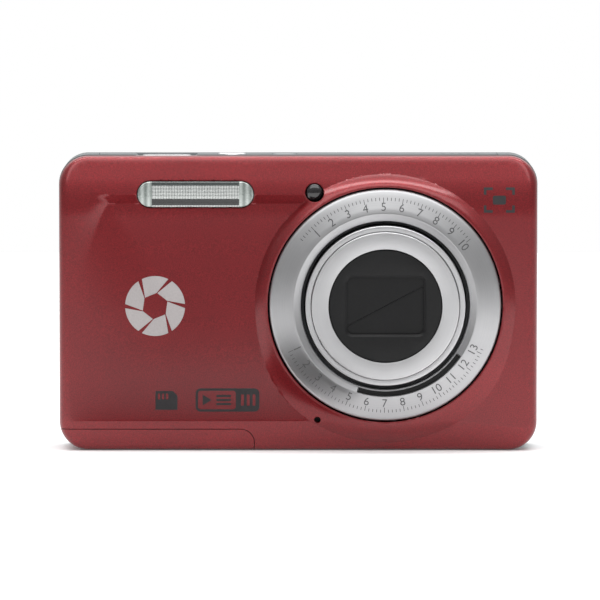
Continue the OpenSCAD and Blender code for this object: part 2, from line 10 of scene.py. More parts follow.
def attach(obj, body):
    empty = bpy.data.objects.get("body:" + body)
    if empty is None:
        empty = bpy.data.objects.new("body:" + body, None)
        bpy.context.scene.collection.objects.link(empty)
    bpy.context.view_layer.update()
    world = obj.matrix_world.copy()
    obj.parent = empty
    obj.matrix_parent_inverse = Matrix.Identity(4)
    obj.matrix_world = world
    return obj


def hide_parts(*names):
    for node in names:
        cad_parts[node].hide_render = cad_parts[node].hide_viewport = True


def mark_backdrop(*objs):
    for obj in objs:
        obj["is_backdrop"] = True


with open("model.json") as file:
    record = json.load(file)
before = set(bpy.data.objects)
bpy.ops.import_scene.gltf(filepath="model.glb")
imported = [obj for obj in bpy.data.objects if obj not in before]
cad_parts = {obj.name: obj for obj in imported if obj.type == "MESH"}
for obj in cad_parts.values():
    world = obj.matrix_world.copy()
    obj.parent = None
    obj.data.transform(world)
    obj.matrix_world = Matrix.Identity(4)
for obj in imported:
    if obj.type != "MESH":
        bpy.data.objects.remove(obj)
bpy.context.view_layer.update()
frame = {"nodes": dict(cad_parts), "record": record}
nodes = frame["nodes"]

MM = 0.001
LENS_X, LENS_Z = 16.55, 28.0          # lens axis
FRONT = 6.9                           # how far the flat front stands ahead of the middle plane
HALF_W, TOP_Z = 45.55, 56.15          # outline of the front cover
CORNER = 5.45
BOSS_IN, BOSS_OUT, BOSS_H = 22.35, 24.8, 8.1  # boss round the lens: hole radius, foot radius, height of its lip
STEP_LOW, STEP_HIGH, STEP_LEFT = 47.2, 48.9, -36.9  # narrow step beside the flash
STEP_DEPTH = 1.0
CREASE_Z, BEND_Z = 5.75, 48.3         # where the flat front starts to lean back, below and above
SKIN_WALL = 0.7
RING_R = (16.05, 17.25, 17.4, 17.6, 21.55, 21.7, 21.95, 22.1)  # trim ring face: radii, and heights there
RING_H = (9.24, 9.7, 9.76, 9.74, 8.3, 8.22, 8.02, 7.82)
SLOT_FROM, SLOT_TO, SLOT_RAMP = 251.7, 325.7, 0.6  # arc slot in the trim ring, in degrees
TICK_STEP = 2.12                      # degrees between the scale's ticks; a number stands at every fifth
FLASH = (-30.7, -8.4, 46.45, 51.5)    # opening for the flash: x from, x to, z from, z to
LAMP = (3.1, 49.3, 1.75)              # focus lamp: centre x, centre z, radius
MIC = (3.65, 6.0, 0.6)                # microphone hole, likewise
DOOR_TOP, DOOR_END, HINGE = 4.1, -11.0, (-9.3, 0.9)  # battery door: lip height, start of its round end, pin
KEY_BACK, KEY_FACE = 9.4, 11.27       # foot of the round keys on the back, and where their signs lie


# ---------------------------------------------------------------- shapes in the plane

def circle(cx, cy, r, steps=96, start=0.0, sweep=360.0):
    """Points c + r (cos a, sin a) for evenly spaced angles a; a full turn leaves out the last, repeated point."""
    full = abs(sweep) >= 360
    a = np.radians(start + np.linspace(0, sweep, steps, endpoint=not full))
    return np.stack([cx + r * np.cos(a), cy + r * np.sin(a)], 1)


def round_rect(x0, x1, y0, y1, r, inset=0.0, steps=12, side=0):
    """Four quarter arcs of radius r - inset about the corner centres of the rectangle, joined by straight sides;
    side adds that many evenly spaced points inside each straight side."""
    cx = np.array([x1 - r, x0 + r, x0 + r, x1 - r])
    cy = np.array([y1 - r, y1 - r, y0 + r, y0 + r])
    a = np.linspace(0, np.pi / 2, steps + 1)[None, :] + (np.pi / 2 * np.arange(4))[:, None]
    arcs = np.stack([cx[:, None] + (r - inset) * np.cos(a), cy[:, None] + (r - inset) * np.sin(a)], -1)
    if not side:
        return arcs.reshape(-1, 2)
    t = (np.arange(side) + 1)[None, :, None] / (side + 1)
    ends = np.roll(arcs[:, :1], -1, 0)
    sides = arcs[:, -1:] * (1 - t) + ends * t
    return np.concatenate([arcs, sides], 1).reshape(-1, 2)


def round_corners(points, radius, steps=4):
    """Each corner of a closed outline gives way to the arc of that radius that touches both its sides."""
    p = np.asarray(points, float)
    r = np.broadcast_to(np.asarray(radius, float), (len(p),))
    a, b = np.roll(p, 1, 0) - p, np.roll(p, -1, 0) - p
    la, lb = np.linalg.norm(a, axis=1), np.linalg.norm(b, axis=1)
    ua, ub = a / la[:, None], b / lb[:, None]
    half = np.arccos(np.clip((ua * ub).sum(1), -1, 1)) / 2
    half = np.clip(half, 1e-3, np.pi / 2 - 1e-3)
    cut = np.minimum(r / np.tan(half), 0.49 * np.minimum(la, lb))
    real = cut * np.tan(half)
    mid = ua + ub
    mid /= np.maximum(np.linalg.norm(mid, axis=1), 1e-9)[:, None]
    centre = p + mid * (real / np.sin(half))[:, None]
    va, vb = p + ua * cut[:, None] - centre, p + ub * cut[:, None] - centre
    turn = (np.pi - 2 * half)[:, None, None]
    s = np.linspace(0, 1, steps + 1)[None, :, None]
    arc = (np.sin((1 - s) * turn) * va[:, None] + np.sin(s * turn) * vb[:, None]) / np.sin(turn)
    return (centre[:, None] + arc).reshape(-1, 2)


def inside(points, loop):
    """True where a ray from the point crosses the closed outline an odd number of times."""
    x, y = points[:, 0][:, None], points[:, 1][:, None]
    x0, y0 = loop[:, 0][None], loop[:, 1][None]
    x1, y1 = np.roll(loop[:, 0], -1)[None], np.roll(loop[:, 1], -1)[None]
    level = (y0 > y) != (y1 > y)
    at = x0 + (y - y0) * (x1 - x0) / np.where(level, y1 - y0, 1)
    return (level & (x < at)).sum(1) % 2 == 1


def away(points, loop):
    """Distance from each point to the nearest point of the outline's sides."""
    a, b = loop[None], np.roll(loop, -1, 0)[None]
    d = b - a
    t = np.clip(((points[:, None] - a) * d).sum(-1) / np.maximum((d * d).sum(-1), 1e-12), 0, 1)
    return np.sqrt((((a + d * t[..., None]) - points[:, None]) ** 2).sum(-1).min(1))


def triangles(loops, fill, lines=()):
    """Triangles between outlines: every outline side and every guide line is kept as an edge, fill points lie
    between, and a triangle stays where its middle is inside an odd number of outlines."""
    fill = fill[np.logical_xor.reduce([inside(fill, l) for l in loops])] if len(fill) else fill
    pts, edges, at = [], [], 0
    for loop in loops:
        n = len(loop)
        k = np.arange(n)
        pts.append(loop)
        edges.append(np.stack([at + k, at + (k + 1) % n], 1))
        at += n
    for line in lines:
        n = len(line)
        k = np.arange(n - 1)
        pts.append(line)
        edges.append(np.stack([at + k, at + k + 1], 1))
        at += n
    pts.append(fill)
    corners = [Vector(p) for p in np.concatenate(pts)]
    out = geometry.delaunay_2d_cdt(corners, np.concatenate(edges).tolist(), [], 0, 1e-5)
    xy = np.array([v[:] for v in out[0]])
    tri = np.array(out[2])
    mid = xy[tri].mean(1)
    keep = np.logical_xor.reduce([inside(mid, l) for l in loops])
    return xy, tri[keep]


# ---------------------------------------------------------------- meshes

def add_mesh(name, points, faces, weld=0.0008, sharp=28.0, outward=True):
    """A mesh of points in millimetres: doubles merged, slivers dropped, normals turned outwards, shaded smooth with
    edges above the sharp angle kept crisp."""
    mesh = bpy.data.meshes.new(name)
    mesh.from_pydata((np.asarray(points, float).reshape(-1, 3) * MM).tolist(), [], [list(f) for f in faces])
    piece = bpy.data.objects.new(name, mesh)
    bpy.context.scene.collection.objects.link(piece)
    settle(piece, weld, outward)
    crisp(piece, sharp)
    return piece


def settle(piece, weld=0.0008, outward=True):
    """Merge doubles, drop faces with no area, and on a closed shell turn every face outwards."""
    bm = bmesh.new()
    bm.from_mesh(piece.data)
    bmesh.ops.remove_doubles(bm, verts=bm.verts, dist=weld * MM)
    bmesh.ops.dissolve_degenerate(bm, edges=bm.edges, dist=1e-8)
    if outward:
        bmesh.ops.recalc_face_normals(bm, faces=bm.faces)
    bm.to_mesh(piece.data)
    bm.free()


def crisp(piece, angle=28.0):
    """Smooth shading, broken at edges sharper than the angle."""
    mesh = piece.data
    mesh.shade_smooth()
    mesh.set_sharp_from_angle(angle=math.radians(angle))


def apply_all(piece):
    """The piece's modifiers become its mesh."""
    deps = bpy.context.evaluated_depsgraph_get()
    deps.update()
    mesh = bpy.data.meshes.new_from_object(piece.evaluated_get(deps))
    mesh.name = piece.name
    piece.modifiers.clear()
    piece.data = mesh
    return piece


def thicken(piece, wall):
    """A wall of that thickness behind an open skin."""
    m = piece.modifiers.new("wall", "SOLIDIFY")
    m.thickness, m.offset, m.use_even_offset = wall * MM, -1, True
    return apply_all(piece)


def carve(piece, cutter, how="DIFFERENCE"):
    """Takes the cutter away from the piece, or keeps only what they share; the cutter is then removed."""
    m = piece.modifiers.new("cut", "BOOLEAN")
    m.operation, m.solver, m.object = how, "EXACT", cutter
    apply_all(piece)
    bpy.data.objects.remove(cutter)
    return piece


def seat(u, v, h, side, centre=(0.0, 0.0)):
    """Where a point with plane coordinates u, v and height h lies: height runs out of the named side."""
    u, v, h = np.broadcast_arrays(u, v, h)
    c, d = centre
    if side == "front":
        return np.stack([c + u, -h, d + v], -1)
    if side == "back":
        return np.stack([c + u, h, d + v], -1)
    return np.stack([c + u, d + v, h], -1)


def loft(name, loops, ends=False, sharp=28.0):
    """Quads between neighbouring closed loops of equal count, an array of loops x points x 3. With ends, the first
    and last loops are closed by a flat face; without, the last loop joins the first."""
    loops = np.asarray(loops, float)
    k, n = loops.shape[:2]
    rows = k - 1 if ends else k
    i, j = np.meshgrid(np.arange(rows), np.arange(n), indexing="ij")
    i2, j2 = (i + 1) % k, (j + 1) % n
    quads = np.stack([i * n + j, i * n + j2, i2 * n + j2, i2 * n + j], -1).reshape(-1, 4).tolist()
    if ends:
        quads += [list(range(n)), list(range((k - 1) * n, k * n))]
    return add_mesh(name, loops, quads, sharp=sharp)


def turned(name, profile, side, centre, steps=160, sharp=28.0):
    """A closed profile of radius and height carried once round an axis: u = r cos a, v = r sin a, height as given."""
    p = np.asarray(profile, float)
    a = np.linspace(0, 2 * np.pi, steps, endpoint=False)[None, :]
    return loft(name, seat(p[:, :1] * np.cos(a), p[:, :1] * np.sin(a), p[:, 1:], side, centre), sharp=sharp)


def cushion(name, outline, inset_height, side):
    """A pad: the outline drawn in by each inset and lifted to each height, with flat ends; outline(inset) is the
    loop."""
    return loft(name, [seat(*outline(i).T, h, side) for i, h in inset_height], ends=True)


def edge_roll(low, high, r, steps=5):
    """Inset and height pairs of a pad with a quarter-round rim: inset r (1 - cos t), height high - r + r sin t."""
    t = np.linspace(0, np.pi / 2, steps + 1)
    return [(0.0, low)] + [(r * (1 - math.cos(s)), high - r + r * math.sin(s)) for s in t]


def softened(node, width=0.12, angle=35.0, segments=2):
    """A copy of the solid's mesh with its doubles merged, flat facets joined, and its edges bevelled."""
    piece = bpy.data.objects.new(node + "_shape", nodes[node].data.copy())
    bpy.context.scene.collection.objects.link(piece)
    piece.data.materials.clear()
    bm = bmesh.new()
    bm.from_mesh(piece.data)
    bmesh.ops.remove_doubles(bm, verts=bm.verts, dist=2e-6)
    bmesh.ops.dissolve_limit(bm, angle_limit=math.radians(0.6), verts=bm.verts, edges=bm.edges, delimit={"NORMAL"})
    bm.to_mesh(piece.data)
    bm.free()
    if piece.data.has_custom_normals:
        piece.data.attributes.remove(piece.data.attributes["custom_normal"])
    if width:
        m = piece.modifiers.new("edge", "BEVEL")
        m.width, m.segments, m.limit_method = width * MM, segments, "ANGLE"
        m.angle_limit, m.use_clamp_overlap, m.harden_normals = math.radians(angle), True, False
        apply_all(piece)
    crisp(piece, 32)
    return piece


# ---------------------------------------------------------------- finishes

def linear(r, g, b):
    """Display values 0 to 255 as linear colour: ((c + 0.055) / 1.055) ^ 2.4, or c / 12.92 near black."""
    c = np.array([r, g, b]) / 255
    return (*np.where(c <= 0.04045, c / 12.92, ((c + 0.055) / 1.055) ** 2.4), 1.0)


class Finish:
    """A node material that is built up step by step round one shader."""

    def __init__(self, name, **sockets):
        self.material = bpy.data.materials.new(name)
        self.material.use_nodes = True
        self.tree = self.material.node_tree
        self.shader = self.tree.nodes["Principled BSDF"]
        self.place = self.add("ShaderNodeTexCoord").outputs["Object"]
        for key, value in sockets.items():
            self.shader.inputs[key.replace("_", " ")].default_value = value

    def add(self, kind, **values):
        node = self.tree.nodes.new(kind)
        for key, value in values.items():
            setattr(node, key, value)
        return node

    def link(self, a, b):
        self.tree.links.new(a, b)

    def axes(self):
        """Object coordinates as three sockets."""
        node = self.add("ShaderNodeSeparateXYZ")
        self.link(self.place, node.inputs[0])
        return node.outputs

    def noise(self, scale, detail=2.0, vector=None, rough=0.5):
        """Cloudy values near one half; scale counts lumps per metre."""
        node = self.add("ShaderNodeTexNoise")
        node.inputs["Scale"].default_value = scale
        node.inputs["Detail"].default_value = detail
        node.inputs["Roughness"].default_value = rough
        self.link(vector or self.place, node.inputs["Vector"])
        return node.outputs["Fac"]

    def spread(self, value, low, high, start=0.3, end=0.7):
        """Stretches the range start to end over low to high."""
        node = self.add("ShaderNodeMapRange")
        for key, number in zip(("From Min", "From Max", "To Min", "To Max"), (start, end, low, high)):
            node.inputs[key].default_value = number
        self.link(value, node.inputs["Value"])
        return node.outputs["Result"]

    def blend(self, factor, a, b):
        """From colour a to colour b as the factor goes from 0 to 1; either may be a socket."""
        node = self.add("ShaderNodeMix", data_type="RGBA")
        self.link(factor, node.inputs["Factor"])
        for index, value in ((6, a), (7, b)):
            if isinstance(value, tuple):
                node.inputs[index].default_value = value
            else:
                self.link(value, node.inputs[index])
        return node.outputs[2]

    def sum(self, a, b, how="ADD"):
        node = self.add("ShaderNodeMath", operation=how)
        for index, value in ((0, a), (1, b)):
            if isinstance(value, (int, float)):
                node.inputs[index].default_value = value
            else:
                self.link(value, node.inputs[index])
        return node.outputs[0]

    def shape(self, how, value):
        """One value through a function, such as SINE or ABSOLUTE."""
        node = self.add("ShaderNodeMath", operation=how)
        self.link(value, node.inputs[0])
        return node.outputs[0]

    def off(self, value, centre):
        """How far a coordinate lies from a centre given in millimetres."""
        return self.shape("ABSOLUTE", self.sum(value, -centre * MM))

    def colour(self, socket):
        self.link(socket, self.shader.inputs["Base Color"])
        return self

    def roughness(self, socket):
        self.link(socket, self.shader.inputs["Roughness"])
        return self

    def bump(self, height, depth, strength=1.0):
        """Surface relief of that depth in millimetres."""
        node = self.add("ShaderNodeBump")
        node.inputs["Strength"].default_value = strength
        node.inputs["Distance"].default_value = depth * MM
        self.link(height, node.inputs["Height"])
        if self.shader.inputs["Normal"].is_linked:
            self.link(self.shader.inputs["Normal"].links[0].from_socket, node.inputs["Normal"])
        self.link(node.outputs["Normal"], self.shader.inputs["Normal"])
        return self


def mottled(name, colour, other, grain, rough, relief, relief_scale, cloud=60, **sockets):
    """A moulded or cast finish: two close tones in fine grain over slow clouds, uneven gloss and a fine relief."""
    f = Finish(name, **sockets)
    tone = f.sum(f.sum(f.noise(grain, 3), 0.5, "MULTIPLY"), f.sum(f.noise(cloud, 2), 0.5, "MULTIPLY"))
    f.colour(f.blend(f.spread(tone, 0, 1), colour, other))
    f.roughness(f.spread(f.noise(cloud * 3, 4), *rough))
    f.bump(f.noise(relief_scale, 2), relief, 0.6)
    return f


def make_red_paint():
    """Red with fine metal flake under clear lacquer: flake tone and tilt change grain by grain, the lacquer is
    smooth."""
    f = Finish("red_enamel", Metallic=0.72, Coat_Weight=0.8, Coat_Roughness=0.2, Coat_IOR=1.5)
    flake = f.noise(5200, 3, rough=0.7)
    cloud = f.noise(90, 3)
    red = f.blend(f.spread(flake, 0, 1, 0.28, 0.72), linear(88, 9, 14), linear(156, 28, 36))
    f.colour(f.blend(f.spread(cloud, 0, 0.16), red, linear(84, 9, 14)))
    f.roughness(f.spread(cloud, 0.4, 0.46))
    f.bump(flake, 0.012, 0.35)
    return f.material


def make_spun_metal(name, tone, dark, rough, relief):
    """Metal turned on a lathe: fine rings about the lens axis, seen in tone, gloss and relief."""
    f = Finish(name, Metallic=1.0)
    centred = f.add("ShaderNodeMapping", vector_type="POINT")
    centred.inputs["Location"].default_value = (-LENS_X * MM, 0, -LENS_Z * MM)
    f.link(f.place, centred.inputs["Vector"])
    flat = f.add("ShaderNodeVectorMath", operation="MULTIPLY")
    flat.inputs[1].default_value = (1, 0, 1)
    f.link(centred.outputs["Vector"], flat.inputs[0])
    length = f.add("ShaderNodeVectorMath", operation="LENGTH")
    f.link(flat.outputs[0], length.inputs[0])
    radius = f.add("ShaderNodeCombineXYZ")
    f.link(length.outputs["Value"], radius.inputs["X"])
    ring = f.noise(5200, 2, radius.outputs["Vector"])
    both = f.sum(f.sum(ring, 0.5, "MULTIPLY"), f.sum(f.noise(140, 3), 0.5, "MULTIPLY"))
    f.colour(f.blend(f.spread(both, 0, 1), dark, tone))
    f.roughness(f.spread(ring, *rough))
    f.bump(ring, relief, 0.5)
    return f.material


def make_flash_plastic():
    """Clear plastic over fine prisms: upright ribs and level lines in the middle, coarser ribs at the round ends, a
    smoky band at the foot; the smooth face is the lacquer layer."""
    f = Finish("flash_plastic", Coat_Weight=1.0, Coat_Roughness=0.03, Metallic=0.35)
    x, _, z = f.axes()
    core = f.sum(f.off(x, (FLASH[0] + FLASH[1]) / 2), 8.3 * MM, "LESS_THAN")
    ribs, lines, broad = (f.shape("SINE", f.sum(along, 2 * math.pi / (pitch * MM), "MULTIPLY"))
                          for along, pitch in ((x, 0.52), (z, 0.62), (x, 1.25)))
    grid = f.sum(f.sum(ribs, 0.6, "MULTIPLY"), f.sum(lines, 0.4, "MULTIPLY"))
    relief = f.add("ShaderNodeMix")
    f.link(core, relief.inputs["Factor"])
    f.link(broad, relief.inputs[2])
    f.link(grid, relief.inputs[3])
    inner = f.blend(f.spread(grid, 0, 1, -1, 1), linear(146, 150, 148), linear(214, 217, 215))
    ends = f.blend(f.spread(broad, 0, 1, -1, 1), linear(128, 136, 132), linear(186, 193, 189))
    face = f.blend(core, ends, inner)
    foot = f.sum(f.sum(f.off(z, 47.5), 0.6 * MM, "LESS_THAN"), core, "MULTIPLY")
    head = f.sum(f.sum(z, 50.65 * MM, "GREATER_THAN"), core, "MULTIPLY")
    face = f.blend(foot, face, linear(6, 7, 7))
    face = f.blend(head, face, linear(72, 78, 77))
    f.colour(face)
    f.roughness(f.spread(f.noise(900, 2), 0.2, 0.34))
    f.bump(relief.outputs[0], 0.02, 0.6)
    return f.material


def make_board():
    """Green lacquered board: darker clear areas between paler copper runs."""
    f = Finish("circuit_board", Coat_Weight=0.4, Coat_Roughness=0.2)
    cells = f.add("ShaderNodeTexVoronoi", feature="DISTANCE_TO_EDGE")
    cells.inputs["Scale"].default_value = 520
    f.link(f.place, cells.inputs["Vector"])
    run = f.spread(cells.outputs["Distance"], 1, 0, 0.02, 0.06)
    f.colour(f.blend(run, linear(16, 62, 38), linear(46, 112, 62)))
    f.roughness(f.spread(f.noise(400, 3), 0.35, 0.55))
    f.bump(run, 0.02, 0.5)
    return f.material


def make_banded(name, ground, band, along, middle, width):
    """A printed sleeve: one band of another tone across the given axis, fine grain over both."""
    f = Finish(name)
    stripe = f.sum(f.off(f.axes()[along], middle), width * MM / 2, "LESS_THAN")
    tone = f.blend(stripe, ground, band)
    f.colour(f.blend(f.spread(f.noise(1800, 3), 0, 0.25), tone, linear(30, 30, 32)))
    f.roughness(f.spread(f.noise(300, 3), 0.35, 0.5))
    f.bump(f.noise(2500, 2), 0.006, 0.5)
    return f.material


def make_screen():
    """Dark cover glass: a black printed border round a slightly greyer viewing area, smooth lacquer-like face."""
    f = Finish("screen_glass", Coat_Weight=1.0, Coat_Roughness=0.02)
    x, _, z = f.axes()
    across, up = (f.sum(f.off(along, centre), half * MM, "LESS_THAN")
                  for along, centre, half in ((x, 13.3, 27.1), (z, 28.4, 20.4)))
    view = f.sum(across, up, "MULTIPLY")
    tone = f.blend(view, linear(14, 14, 16), linear(34, 36, 42))
    f.colour(f.blend(f.spread(f.noise(700, 2), 0, 0.2), tone, linear(22, 22, 25)))
    f.roughness(f.spread(f.noise(60, 3), 0.12, 0.2))
    f.bump(f.noise(120, 1), 0.002, 0.2)
    return f.material


MOULDED = {  # two tones, grain, range of roughness, relief in mm, its scale, other sockets
    "grey_shell": ((100, 105, 107), (115, 120, 122), 3200, (0.38, 0.5), 0.012, 5000,
                   dict(Metallic=0.35, Coat_Weight=0.15, Coat_Roughness=0.3)),
    "grey_buttons": ((150, 155, 158), (164, 169, 171), 2600, (0.28, 0.4), 0.006, 4200,
                     dict(Metallic=0.45, Coat_Weight=0.2, Coat_Roughness=0.2)),
    "bright_buttons": ((226, 227, 229), (238, 239, 240), 900, (0.16, 0.26), 0.002, 2600,
                       dict(Metallic=0.7, Coat_Weight=0.3, Coat_Roughness=0.08)),
    "black_plastic": ((14, 14, 15), (22, 22, 23), 3000, (0.42, 0.55), 0.012, 5200, dict(Specular_IOR_Level=0.32)),
    "barrier_black": ((13, 13, 14), (20, 20, 21), 2600, (0.4, 0.5), 0.008, 4000, dict(Specular_IOR_Level=0.3)),
    "dark_frame": ((40, 41, 43), (54, 55, 57), 1600, (0.45, 0.62), 0.02, 2400, {}),
    "lens_glass": ((225, 228, 240), (214, 220, 240), 120, (0.0, 0.02), 0.0005, 300,
                   dict(Transmission_Weight=1.0, IOR=1.6, Coat_Weight=0.3)),
    "lamp_glass": ((14, 15, 17), (34, 30, 32), 900, (0.12, 0.22), 0.004, 1200,
                   dict(Coat_Weight=0.6, Coat_Roughness=0.05)),
    "mirror_metal": ((225, 226, 228), (205, 207, 210), 700, (0.08, 0.18), 0.004, 900, dict(Metallic=1.0)),
    "steel": ((176, 178, 181), (150, 152, 156), 1400, (0.24, 0.4), 0.006, 3000, dict(Metallic=1.0)),
    "brass_gear": ((214, 176, 94), (190, 150, 76), 900, (0.25, 0.4), 0.006, 2200, dict(Metallic=1.0)),
    "gold_contact": ((232, 190, 98), (212, 166, 78), 900, (0.2, 0.34), 0.004, 2200, dict(Metallic=1.0)),
    "display_cell": ((26, 28, 33), (38, 40, 46), 400, (0.2, 0.3), 0.004, 900, {}),
    "latch_orange": ((222, 104, 34), (202, 88, 26), 1500, (0.35, 0.5), 0.01, 2600, {}),
    "sensor_black": ((24, 26, 34), (38, 36, 52), 600, (0.1, 0.2), 0.003, 900,
                     dict(Coat_Weight=0.8, Coat_Roughness=0.05)),
}
FINISH = {name: mottled(name, linear(*tone), linear(*other), *surface, **sockets).material
          for name, (tone, other, *surface, sockets) in MOULDED.items()}
FINISH |= {
    "red_enamel": make_red_paint(),
    "silver_ring": make_spun_metal("silver_ring", linear(185, 185, 186), linear(171, 171, 173), (0.32, 0.4), 0.002),
    "silver_barrel": make_spun_metal("silver_barrel", linear(205, 205, 206), linear(193, 193, 195), (0.36, 0.46),
                                     0.003),
    "flash_plastic": make_flash_plastic(),
    "circuit_board": make_board(),
    "screen_glass": make_screen(),
    "battery_wrap": make_banded("battery_wrap", linear(52, 54, 58), linear(196, 198, 200), 2, 34, 9),
    "card_blue": make_banded("card_blue", linear(34, 58, 112), linear(200, 204, 210), 2, 24, 12),
    "capacitor_sleeve": make_banded("capacitor_sleeve", linear(30, 34, 48), linear(180, 182, 186), 0, -8.6, 1.1),
}


def print_ink(name, colour, other):
    """Thin printed ink: slightly patchy, faint relief from what it lies on."""
    return mottled(name, colour, other, 2400, (0.4, 0.55), 0.004, 5200, cloud=200).material


INK_DARK = print_ink("dark_ink", linear(34, 32, 34), linear(46, 43, 45))
INK_SILVER = mottled("silver_ink", linear(196, 190, 190), linear(178, 172, 172), 3600, (0.34, 0.46), 0.004, 5200,
                     Metallic=0.55).material
INK_GREY = print_ink("grey_ink", linear(72, 72, 73), linear(86, 86, 87))

slot_of = {row["node"]: row["material_slot"] for row in frame["record"]["subparts"]}
# The microphone behind its small hole takes black plastic in place of its steel: painted shade, so the hole reads
# dark as a deep hole does.
for node, obj in nodes.items():
    obj.data.materials.clear()
    obj.data.materials.append(FINISH["black_plastic" if node == "microphone" else slot_of[node]])


def fit_out(piece, body, slot, covers=(), material=None):
    """Gives a piece its finish and its body, and hides the solids it stands for."""
    piece.data.materials.clear()
    piece.data.materials.append(material or FINISH[slot])
    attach(piece, body)
    if covers:
        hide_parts(*covers)
    return piece


# ---------------------------------------------------------------- red front

def soft(t, width):
    """A ramp with a rounded foot: 0 below -width, t above width, (t + width)^2 / 4 width between."""
    return np.where(t > width, t, np.where(t < -width, 0, (t + width) ** 2 / (4 * width)))


def ease(t):
    """Smooth step from 0 to 1: 3 t^2 - 2 t^3, held at its ends."""
    t = np.clip(t, 0, 1)
    return t * t * (3 - 2 * t)


def crease_line(x):
    """Height of the crease above the base: level, then falling gently at the right."""
    return CREASE_Z - 0.085 * np.clip(x - 28, 0, None)


def stadium(grow=0.0):
    """The flash opening's outline, grown all round."""
    x0, x1, z0, z1 = FLASH
    return round_rect(x0 - grow, x1 + grow, z0 - grow, z1 + grow, (z1 - z0) / 2 + grow, 0, 20, 20)


def rim_drop(d, r=0.22):
    """Quarter-round lip beside an opening: r - sqrt(r^2 - (r - d)^2) within r of the edge, nothing beyond."""
    d = np.clip(d, 0, r)
    return r - np.sqrt(np.maximum(r * r - (r - d) ** 2, 0))


def front_height(x, z):
    """How far the red skin stands ahead of the middle plane. The flat front leans back above and below with rounded
    creases; left of the lens the flat sinks behind a narrow step that widens into nothing at the left; round the
    lens the boss rises as 1 - t^1.35 from its foot circle, which widens towards the base, to its lip; every opening
    has a rolled lip."""
    x, z = np.broadcast_arrays(np.asarray(x, float), np.asarray(z, float))
    h = FRONT - 0.25 * soft(crease_line(x) - z, 0.14)
    h = h - 0.3377 * soft(z - BEND_Z, 3.6)
    narrow = STEP_HIGH - STEP_LOW
    slant = 1.2 * np.clip((STEP_HIGH - z) / narrow, 0, 1)
    left = ease((STEP_LEFT + slant - x) / 7.5)
    into = np.clip((STEP_HIGH - z) / (narrow + 16 * left), 0, 1)
    into = into * (1 - left) + ease(into) * left
    fade = 1 - ease((STEP_LOW - z) / 34)
    room = STEP_LEFT + HALF_W + 1 + 0.7 * np.clip(STEP_LOW - z, 0, 20)
    stop = ease((LENS_X + 2 - x) / 8) * ease((x + HALF_W) / room)
    h = h - STEP_DEPTH * into * fade * stop
    dx, dz = x - LENS_X, z - LENS_Z
    r = np.hypot(dx, dz)
    low = ease((-dz / np.maximum(r, 1e-6) - 0.1) / 0.75)
    foot = BOSS_OUT + 1.6 * low
    t = np.clip((r - BOSS_IN - 0.35) / (foot - BOSS_IN - 0.35), 0, 1)
    lift = np.maximum(BOSS_H - h, 0)
    h = h + lift * (1 - t ** 1.35)
    flash = stadium()
    near = (z > 45) & (x < -6) & (x > -33)
    d = np.full(h.shape, 9.0)
    d[near] = away(np.stack([x[near], z[near]], 1), flash)
    h = h - rim_drop(d)
    h = h - rim_drop(np.abs(np.hypot(x - LAMP[0], z - LAMP[1]) - LAMP[2]), 0.16)
    h = h - rim_drop(np.abs(np.hypot(x - MIC[0], z - MIC[1]) - MIC[2]), 0.12)
    return h - rim_drop(r - BOSS_IN, 0.18)


def outline_inset(loop_normal):
    """Width of the rolled edge: 2 at the sides, 0.8 along top and base, by the square of the outward direction."""
    return 0.8 + 1.2 * loop_normal[:, 0] ** 2


